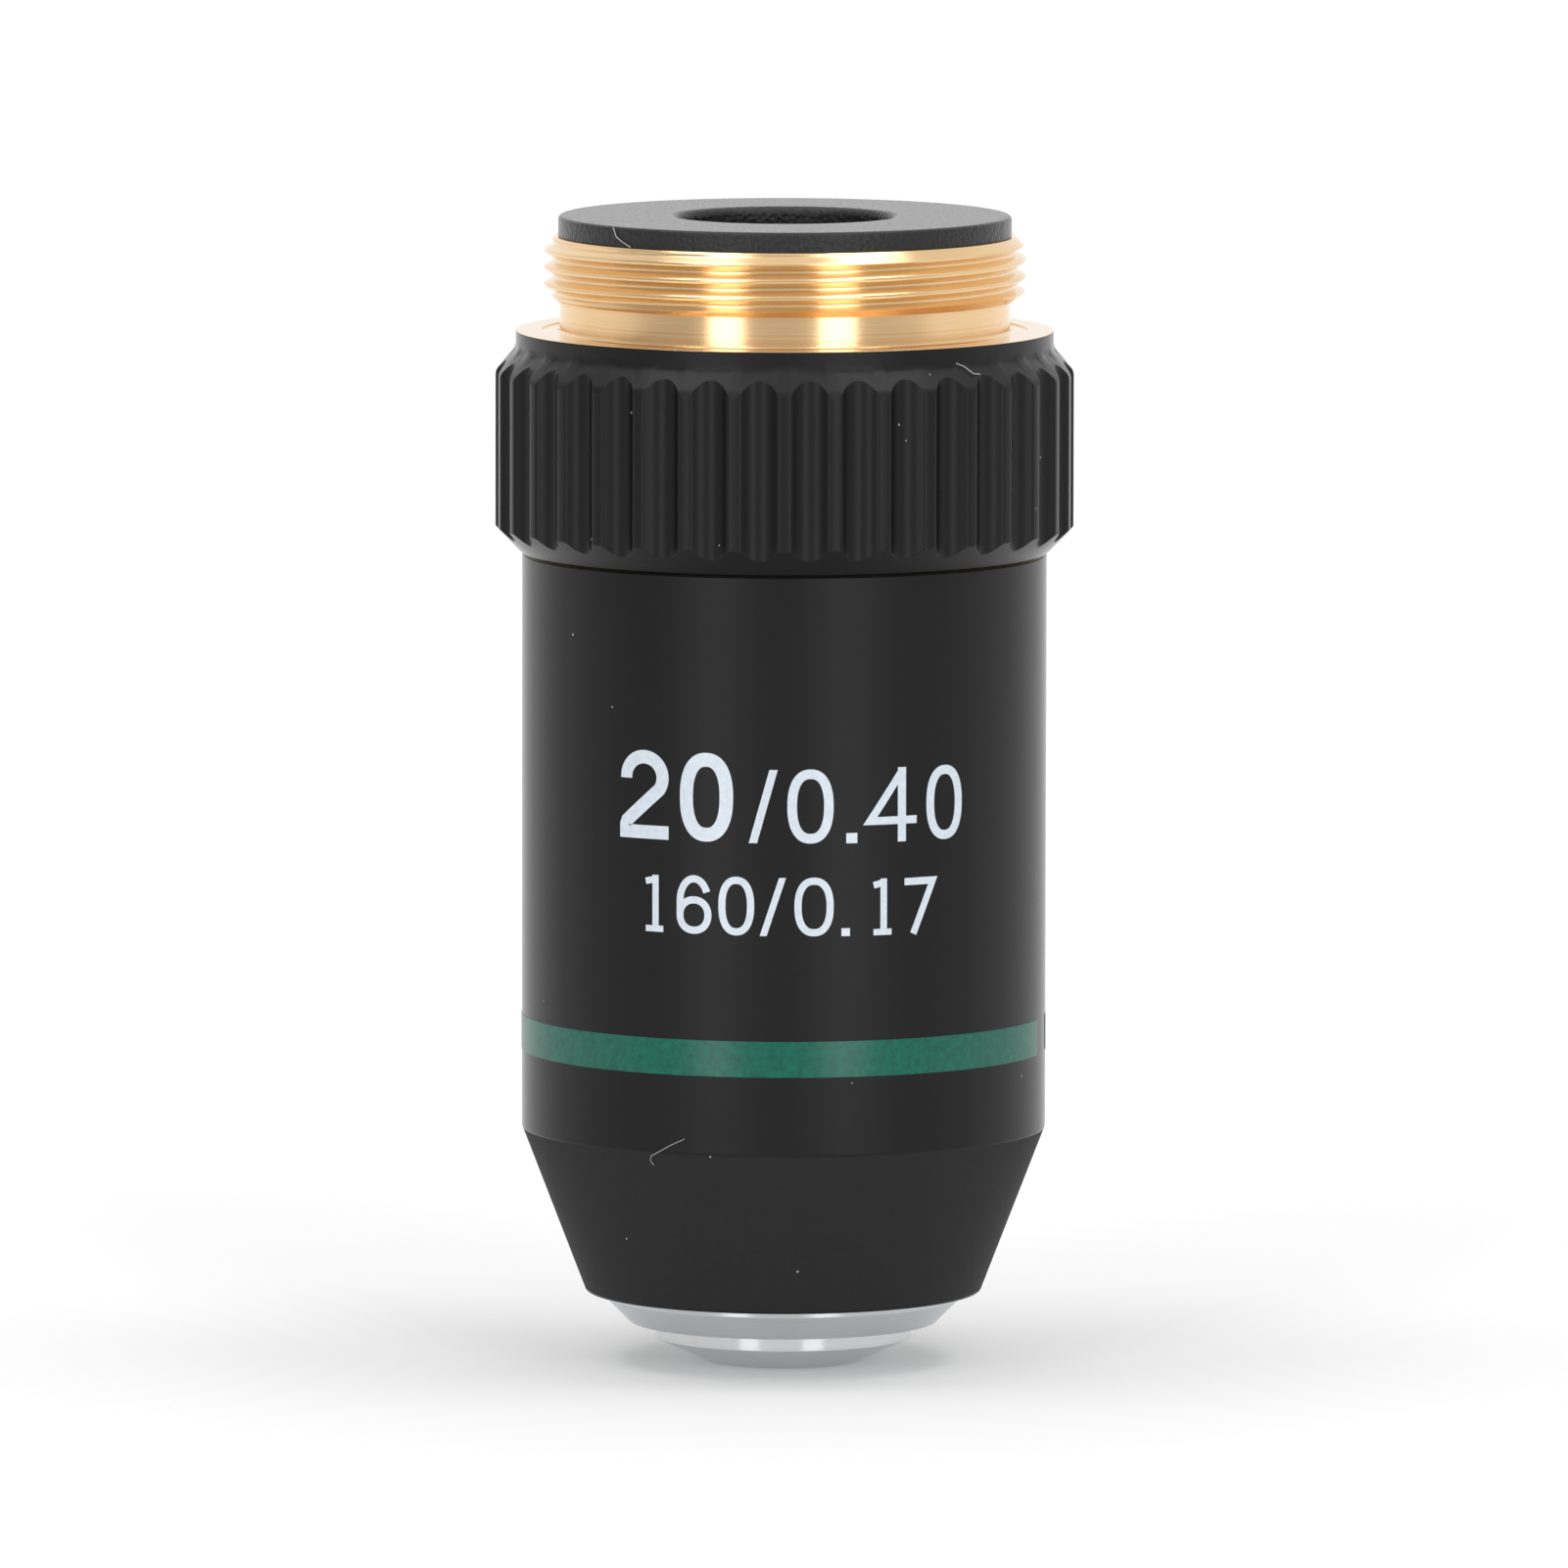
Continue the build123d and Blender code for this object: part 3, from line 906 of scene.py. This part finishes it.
def slash(w, h, t):
    lean = t * 1.15
    pairs = [(Vector((0, 0)), Vector((lean, 0))), (Vector((w - lean, h)), Vector((w, h)))]
    return [stroke_solid(pairs, False)]


def point(w, h, t):
    return [stroke([Vector((0, w * 0.45)), Vector((w, w * 0.45))], w * 0.9)]


FIGURES = {"0": nought, "1": one, "2": two, "4": four, "6": six, "7": seven, "/": slash, ".": point}
print("figures:", " ".join(FIGURES))

# %% Joining strokes and wrapping them round the barrel
BEND_STEP = 0.35


def joined(meshes):
    """One mesh out of the overlapping solids of a figure."""
    temporary = []
    for mesh in meshes:
        temporary.append(into_scene("bar", mesh))
    for other in temporary[1:]:
        cut = temporary[0].modifiers.new("join", "BOOLEAN")
        cut.operation = "UNION"
        cut.solver = "EXACT"
        cut.object = other
    depsgraph = bpy.context.evaluated_depsgraph_get()
    result = bpy.data.meshes.new_from_object(temporary[0].evaluated_get(depsgraph))
    for bar in temporary:
        bpy.data.objects.remove(bar)
    return result


def wrapped(name, placed):
    """Bends flat film round the barrel: placed is a list of (mesh, shift along, height)."""
    shape = bmesh.new()
    for mesh, shift, height in placed:
        mesh.transform(Matrix.Translation((shift, height, 0)))
        shape.from_mesh(mesh)
    along = [vertex.co.x for vertex in shape.verts]
    cuts = int((max(along) - min(along)) / BEND_STEP)
    for cut in range(1, cuts + 1):
        bmesh.ops.bisect_plane(
            shape,
            geom=shape.verts[:] + shape.edges[:] + shape.faces[:],
            plane_co=(min(along) + cut * BEND_STEP, 0, 0),
            plane_no=(1, 0, 0),
            dist=1e-5,
        )
    for vertex in shape.verts:
        s, z, lift = vertex.co
        r = barrel_r + lift
        angle = s / barrel_r
        vertex.co = (r * math.sin(angle) * MM, -r * math.cos(angle) * MM, z * MM)
    bmesh.ops.recalc_face_normals(shape, faces=shape.faces)
    mesh = mesh_of(shape, name)
    smooth(mesh)
    return mesh


print("ink is bent every", BEND_STEP, "mm")

# %% [markdown]
# The two rows stand as they do on the real barrel. The magnification is bold and larger. The
# places are distances round the barrel from the middle of its front, in millimetres.

# %% The printed figures
TOP_LINE = -20.46
SECOND_LINE = -24.33
PRINT_TILT = math.radians(-0.35)
top_row = [
    ("2", -7.32, 2.37, 3.68, 0.56),
    ("0", -4.43, 2.31, 3.70, 0.575),
    ("/", -1.46, 1.20, 3.06, 0.30),
    ("0", 0.14, 1.93, 3.09, 0.40),
    (".", 2.61, 0.47, 3.10, 0.40),
    ("4", 3.29, 2.47, 3.10, 0.37),
    ("0", 6.24, 1.85, 3.10, 0.38),
]
second_row = [
    ("1", -6.02, 0.83, 2.37, 0.29),
    ("6", -4.57, 1.53, 2.45, 0.30),
    ("0", -2.74, 1.51, 2.45, 0.30),
    ("/", -1.00, 1.09, 2.43, 0.25),
    ("0", 0.44, 1.64, 2.45, 0.30),
    (".", 2.41, 0.36, 2.45, 0.31),
    ("1", 3.80, 0.80, 2.36, 0.29),
    ("7", 5.20, 1.53, 2.34, 0.30),
]


def printed(name, row, line):
    placed = [
        (joined(FIGURES[figure](width, height, weight)), place, line + place * math.tan(PRINT_TILT))
        for figure, place, width, height, weight in row
    ]
    new_piece(name, wrapped(name, placed), "root", [white_ink])


printed("figures_top_row", top_row, TOP_LINE)
printed("figures_second_row", second_row, SECOND_LINE)

# %% [markdown]
# The green band marks the magnification. It is printed in one roll and stops just short of
# its own start: the end shows at the right, 75 degrees from the front, with rounded corners.

# %% The colour band
BAND_END = math.radians(75)
BAND_GAP = math.radians(10)
BAND_CORNER = 0.16
band_length = (math.tau - BAND_GAP) * barrel_r
right = BAND_END * barrel_r
left = right - band_length
band_flat = bmesh.new()
corners = [
    (left, band_bottom, BAND_CORNER),
    (right, band_bottom, BAND_CORNER),
    (right, band_top, BAND_CORNER),
    (left, band_top, BAND_CORNER),
]
outline = rounded(corners)
under = [band_flat.verts.new((p.x, p.y, -INK_UNDER)) for p in outline]
over = [band_flat.verts.new((p.x, p.y, INK_OVER)) for p in outline]
band_flat.faces.new(under)
band_flat.faces.new(over)
for i in range(len(outline)):
    k = (i + 1) % len(outline)
    band_flat.faces.new((under[i], under[k], over[k], over[i]))
band_mesh = wrapped("colour_band_printed", [(mesh_of(band_flat, "band_flat"), 0, 0)])
new_piece("colour_band_printed", band_mesh, "root", [green_ink], ["colour_band"])
print("band:", round(band_length, 1), "mm long")

# %% [markdown]
# A black object always shows a little dust. Here it is a handful of pale grains and three
# fibres, at the places where they lie in the photograph: one hangs over the stop's edge, one
# curls on the collar and a hair lies where the barrel starts to taper. Grains are pressed flat
# and knocked out of round, and fibres are thin tubes along a few points.

# %% Dust
def outer_radius(angle, height):
    """The outside radius of the stop, the collar, the grip or the barrel."""
    if height > rear_end:
        return flange_r
    if height > collar_foot:
        return shoulder_r
    if height > barrel_top:
        blank = min(shoulder_r + (collar_foot - height) * cone_slope, grip_r)
        return min(blank, grip_r - (grip_bottom - height), grip_radius(angle))
    taper = (barrel_r - lip_r) / (cone_top - barrel_end)
    return min(barrel_r, barrel_r - (cone_top - height) * taper)


def on_surface(degrees, height, lift):
    angle = math.radians(degrees)
    r = outer_radius(angle, height) + lift
    return Vector((r * math.sin(angle), -r * math.cos(angle), height)) * MM


lint, tree, shader = finish("grey_lint", {"Roughness": 0.8, "IOR": 1.5})
fluff = add(tree, "ShaderNodeTexNoise", {"Vector": place_mm(tree), "Scale": 12.0, "Detail": 2.0})
colour_between(tree, shader, fluff.outputs["Fac"], "#77746F", "#B9B6B0")

chance = random.Random(20)
grain_places = [
    (-53.1, -12.2, 0.045),
    (-40.5, -15.05, 0.035),
    (-65.9, -27.8, 0.03),
    (-32.2, -2.63, 0.04),
    (23.8, -3.05, 0.05),
    (25.5, -3.73, 0.035),
    (65.8, -4.93, 0.045),
    (-13.2, -8.0, 0.035),
    (-41.8, -8.0, 0.04),
    (59.8, -6.94, 0.035),
    (64.8, -30.9, 0.045),
    (-16.1, -33.6, 0.04),
    (15.0, -30.5, 0.03),
    (3.8, -38.6, 0.05),
    (-43.7, -37.5, 0.04),
    (31.3, -1.05, 0.04),
]
grain_places += [(chance.uniform(95, 265), chance.uniform(-39, -2), 0.035) for _ in range(14)]
shape = bmesh.new()
for degrees, height, size in grain_places:
    turn = Matrix.Rotation(math.radians(degrees), 4, "Z")
    flat = Matrix.Diagonal((size * MM, 0.4 * size * MM, 1.3 * size * MM, 1))
    place = Matrix.Translation(on_surface(degrees, height, 0)) @ turn @ flat
    made = bmesh.ops.create_icosphere(shape, subdivisions=2, radius=1.0, matrix=place)
    for vertex in made["verts"]:
        vertex.co += Vector([chance.uniform(-0.25, 0.25) * size * MM for _ in range(3)])
grains = mesh_of(shape, "dust_grains")
smooth(grains)
new_piece("dust_grains", grains, "root", [lint])


def fibre(name, places, thickness):
    """A fibre through places given as (degrees, height, lift above the surface)."""
    curve = bpy.data.curves.new(name, "CURVE")
    curve.dimensions = "3D"
    curve.bevel_depth = thickness / 2 * MM
    curve.bevel_resolution = 2
    curve.use_fill_caps = True
    line = curve.splines.new("NURBS")
    line.use_endpoint_u = True
    line.points.add(len(places) - 1)
    for point, (degrees, height, lift) in zip(line.points, places):
        point.co = (*on_surface(degrees, height, lift), 1)
    holder = into_scene(name, curve)
    mesh = bpy.data.meshes.new_from_object(holder)
    bpy.data.objects.remove(holder)
    smooth(mesh)
    new_piece(name, mesh, "root", [lint])


over_stop = [(-48.5, 4.75, 0.02), (-47.2, 4.4, 0.06), (-45.0, 4.2, 0.05), (-42.2, 4.0, 0.04)]
on_collar = [(39.0, -0.66, 0.02), (40.6, -0.8, 0.08), (42.0, -1.1, 0.10), (44.0, -1.15, 0.02)]
fibre("fibre_stop", over_stop, 0.05)
fibre("fibre_collar", on_collar, 0.05)
hair = [(-21.9, -32.9), (-25.2, -33.2), (-28.0, -33.5), (-30.1, -33.7), (-30.6, -33.9), (-30.0, -34.1)]
fibre("fibre_barrel", [(degrees, height, 0.03) for degrees, height in hair], 0.035)
print(len(grain_places), "grains and 3 fibres")

# %% [markdown]
# What stays from the frame keeps its own mesh and takes a finish: the lenses, their cells and
# rings, the spring, the shim and the pin.

# %% Finishes on the pieces of the frame
anodised_nodes = ["front_spacer", "middle_cell", "middle_lens_ring", "rear_spacer"]
anodised_nodes += ["rear_cell", "rear_lens_ring", "aperture_stop", "retaining_ring"]
inner_finishes = [
    (optical_glass, ["front_lens", "middle_doublet", "rear_doublet"]),
    (anodised, anodised_nodes),
    (spring_steel, ["spring"]),
    (ground_steel, ["parfocal_shim", "guide_pin"]),
]
for material, names in inner_finishes:
    for name in names:
        nodes[name].data.materials.clear()
        nodes[name].data.materials.append(material)
    print(material.name, "on", len(names))

# %% [markdown]
# The room is a plain white studio, and its floor is pale card. It ends in front of the object,
# out of view, so that the barrel reflects the dim glowing card behind the camera and not the floor.
# The floor looks white to the eye and in metal and glass, and that white adds no light to the
# matt pieces. It grows with the distance, where less lamp light reaches the card, and stays
# low close to the object, which keeps its shadow.

# %% Floor
FLOOR_FRONT, FLOOR_BACK, FLOOR_HALF = -0.075, 4.0, 3.0
FLOOR_GAP = 0.00002
WHITE_REACH = 0.8
FLOOR_WHITES = [(0.03, 0.13), (0.065, 0.23), (0.28, 0.28), (0.95, 0.40)]


def grey_ramp(tree, factor, steps):
    """A grey that goes through (place, level) steps as the factor goes from 0 to 1."""
    ramp = add(tree, "ShaderNodeValToRGB", {"Fac": factor})
    stops = ramp.color_ramp.elements
    while len(stops) < len(steps):
        stops.new(1.0)
    for stop, (place, level) in zip(stops, steps):
        stop.position = place
        stop.color = (level, level, level, 1)
    return ramp.outputs["Color"]


floor_z = tip * MM - FLOOR_GAP
floor_mesh = bpy.data.meshes.new("studio_floor")
floor_mesh.from_pydata(
    [
        (-FLOOR_HALF, FLOOR_FRONT, floor_z),
        (FLOOR_HALF, FLOOR_FRONT, floor_z),
        (FLOOR_HALF, FLOOR_BACK, floor_z),
        (-FLOOR_HALF, FLOOR_BACK, floor_z),
    ],
    [],
    [(0, 1, 2, 3)],
)
floor = into_scene("studio_floor", floor_mesh)
pale_card, tree, shader = finish(
    "pale_card",
    {
        "Base Color": linear("#CACACA"),
        "Roughness": 0.9,
        "Specular IOR Level": 0.0,
        "Emission Color": (1, 1, 1, 1),
    },
)
where = add(tree, "ShaderNodeNewGeometry")
away = add(tree, "ShaderNodeVectorMath", {0: where.outputs["Position"]}, operation="LENGTH")
distance = {0: away.outputs["Value"], 1: WHITE_REACH}
share = add(tree, "ShaderNodeMath", distance, operation="DIVIDE", use_clamp=True)
whitening = grey_ramp(tree, share.outputs["Value"], FLOOR_WHITES)
ray = add(tree, "ShaderNodeLightPath").outputs
seen = ray["Is Camera Ray"]
for kind in ("Is Glossy Ray", "Is Transmission Ray"):
    both = add(tree, "ShaderNodeMath", {0: seen, 1: ray[kind]}, operation="ADD", use_clamp=True)
    seen = both.outputs["Value"]
white = add(tree, "ShaderNodeMath", {0: whitening, 1: seen}, operation="MULTIPLY")
tree.links.new(white.outputs["Value"], shader.inputs["Emission Strength"])
floor_mesh.materials.append(pale_card)
print("floor at", round(floor_z / MM, 2), "mm")

# %% [markdown]
# Behind the camera hangs a wide curved card that glows with its own light: it is a lamp, not a
# lit grey. Its glow is dimmest to the left of the camera and brightest at the sides, which gives
# the black barrel its dark front and pale edges by reflection. The camera doesn't see it. The
# world behind everything is plain white.

# %% Glowing card and world
CARD_R = 1.5
CARD_REACH = 135
CARD_LOW, CARD_HIGH = -3.0, 2.2
CARD_COLUMNS = 54
CARD_GLOW_LEVELS = [(-135, 0.85), (-98, 0.78), (-92, 0.52), (-50, 0.52), (-42, 0.60)]
CARD_GLOW_LEVELS += [(40, 0.62), (72, 0.70), (80, 0.85), (135, 0.95)]
card_half = math.radians(CARD_REACH)
card_points = []
for i in range(CARD_COLUMNS + 1):
    angle = card_half * (2 * i / CARD_COLUMNS - 1)
    x, y = CARD_R * math.sin(angle), -CARD_R * math.cos(angle)
    card_points += [(x, y, CARD_LOW), (x, y, CARD_HIGH)]
card_faces = [(2 * i, 2 * i + 2, 2 * i + 3, 2 * i + 1) for i in range(CARD_COLUMNS)]
card_mesh = bpy.data.meshes.new("glowing_card")
card_mesh.from_pydata(card_points, [], card_faces)
card = into_scene("glowing_card", card_mesh)
card.visible_camera = False
glowing_card = bpy.data.materials.new("glowing_card")
glowing_card.use_nodes = True
tree = glowing_card.node_tree
tree.nodes.clear()
split = add(tree, "ShaderNodeSeparateXYZ", {"Vector": place_mm(tree)}).outputs
toward = add(tree, "ShaderNodeMath", {0: split["Y"], 1: -1.0}, operation="MULTIPLY").outputs["Value"]
azimuth = add(tree, "ShaderNodeMath", {0: split["X"], 1: toward}, operation="ARCTAN2").outputs["Value"]
span = {"Value": azimuth, "From Min": -card_half, "From Max": card_half}
along = add(tree, "ShaderNodeMapRange", span)
# Each level is the brightness of the card's own glow, which is painted light and not a grey lit by the
# lamps.
card_glow = [((degrees + CARD_REACH) / (2 * CARD_REACH), grey) for degrees, grey in CARD_GLOW_LEVELS]
level = grey_ramp(tree, along.outputs["Result"], card_glow)
glow = add(tree, "ShaderNodeEmission", {"Color": level})
add(tree, "ShaderNodeOutputMaterial", {"Surface": glow.outputs["Emission"]})
card_mesh.materials.append(glowing_card)

world = bpy.data.worlds.new("white_room")
bpy.context.scene.world = world
world.use_nodes = True
world.node_tree.nodes["Background"].inputs["Color"].default_value = (1, 1, 1, 1)
world.node_tree.nodes["Background"].inputs["Strength"].default_value = 1.0
print("card", CARD_R, "m away")

# %% [markdown]
# Two tall strip lights stand in front of the card, 30 degrees to the left and 27 to the right:
# they draw the two bright bands on the brass. Two soft boxes overhead light the stop's top,
# the bright shoulder and the slopes of the grip.

# %% Lamps
STRIP_DISTANCE = 0.9
STRIP_TALL = 1.7
STRIP_LIFT = 0.60
STRIP_RADIANCE = 2.8
TOP_ASIDE, TOP_FRONT, TOP_HEIGHT = 0.46, -0.10, 1.05
TOP_ACROSS, TOP_ALONG = 0.45, 0.5
TOP_RADIANCE = 4.0


def soft_box(name, width, height, radiance):
    """A lamp with an even bright face, which the camera doesn't see."""
    lamp = bpy.data.lights.new(name, "AREA")
    lamp.shape = "RECTANGLE"
    lamp.size = width
    lamp.size_y = height
    lamp.energy = radiance * math.pi * width * height
    light = into_scene(name, lamp)
    light.visible_camera = False
    return light


for name, x in (("top_left", -TOP_ASIDE), ("top_right", TOP_ASIDE)):
    soft_box(name, TOP_ACROSS, TOP_ALONG, TOP_RADIANCE).location = (x, TOP_FRONT, TOP_HEIGHT)
for name, degrees, spread in (("strip_left", -30.1, 17.0), ("strip_right", 26.9, 18.2)):
    width = 2 * STRIP_DISTANCE * math.tan(math.radians(spread / 2))
    light = soft_box(name, width, STRIP_TALL, STRIP_RADIANCE)
    turn = math.radians(degrees)
    place = Vector((math.sin(turn), -math.cos(turn), 0)) * STRIP_DISTANCE
    light.location = place + Vector((0, 0, STRIP_LIFT))
    light.rotation_euler = (-place).to_track_quat("-Z", "Y").to_euler()
print("strip lights", STRIP_DISTANCE, "m away")

# %% [markdown]
# The camera stands level with the photograph's: about 860 mm away and looking 6 degrees down,
# through a long lens, with the slightest roll.

# %% Camera
CAMERA_DISTANCE = 0.860
CAMERA_DOWN = math.radians(6.05)
CAMERA_ROLL = math.radians(0.1)
LENS_MM = 470.3
target = Vector((0, 0, -0.01914))
camera_data = bpy.data.cameras.new("camera")
camera_data.lens = LENS_MM
camera_data.sensor_width = 36.0
camera_data.clip_start = 0.01
camera_data.clip_end = 50.0
camera = into_scene("camera", camera_data)
camera.location = target + Vector((0, -math.cos(CAMERA_DOWN), math.sin(CAMERA_DOWN))) * CAMERA_DISTANCE
look = (target - camera.location).to_track_quat("-Z", "Y")
camera.rotation_euler = (look.to_matrix() @ Matrix.Rotation(CAMERA_ROLL, 3, "Z")).to_euler()
bpy.context.scene.camera = camera
bpy.context.scene.view_settings.view_transform = "Standard"
print("camera at", [round(value, 4) for value in camera.location])
